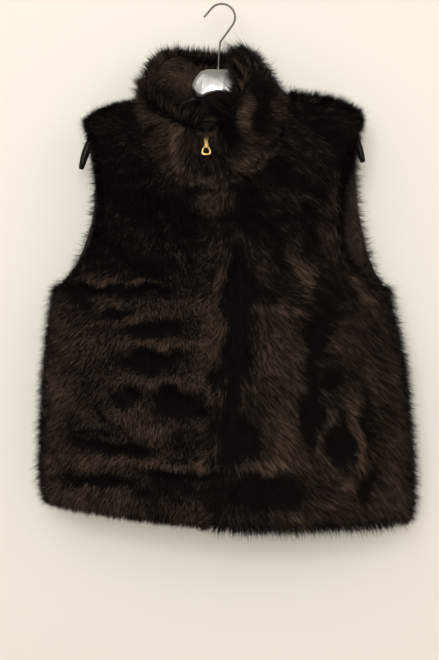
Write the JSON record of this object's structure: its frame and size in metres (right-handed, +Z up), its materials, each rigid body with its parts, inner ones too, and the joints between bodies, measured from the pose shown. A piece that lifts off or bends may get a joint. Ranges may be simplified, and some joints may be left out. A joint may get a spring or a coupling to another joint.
{
  "type": "fur body warmer on a coat hanger",
  "caption": "Sleeveless long-pile fur body warmer with a stand collar and concealed front zip, hanging open at neck, armholes and hem on a coat hanger with a wire hook.",
  "frame": {"origin": "underside of the hook's crown, where it bears on a peg or rail", "axes": "+Z up the hanging garment, +X to the viewer's right, -Y out of its front"},
  "size_m": [0.5326, 0.1407, 0.7517],
  "materials": {
    "fur": "long dark brown pile with a soft sheen",
    "lining": "dark brown satin",
    "tape": "dark woven tape",
    "coil": "dark brown moulded teeth",
    "gilt": "polished pale gold",
    "plastic": "glossy black",
    "silver": "polished silver",
    "steel": "bright drawn wire"
  },
  "bodies": {
    "garment": {"front_left": "fur", "front_right": "fur", "back": "fur", "collar_outer": "fur", "collar_inner": "fur", "lining_front_left": "lining", "lining_front_right": "lining", "lining_back": "lining", "zip_tape_left": "tape", "zip_tape_right": "tape", "zip_chain": "coil", "zip_slider": "gilt", "hanger_plate": "silver", "hanger_arm_left": "plastic", "hanger_arm_right": "plastic", "hanger_hook": "steel"},
    "pull": {"zip_pull": "gilt"}
  },
  "joints": [
    {"name": "pull_swing", "type": "hinge", "parent": "garment", "child": "pull", "pos_m": [-0.022, -0.0653, -0.206], "axis": [-1, 0, 0], "range_deg": [0, 150]}
  ]
}
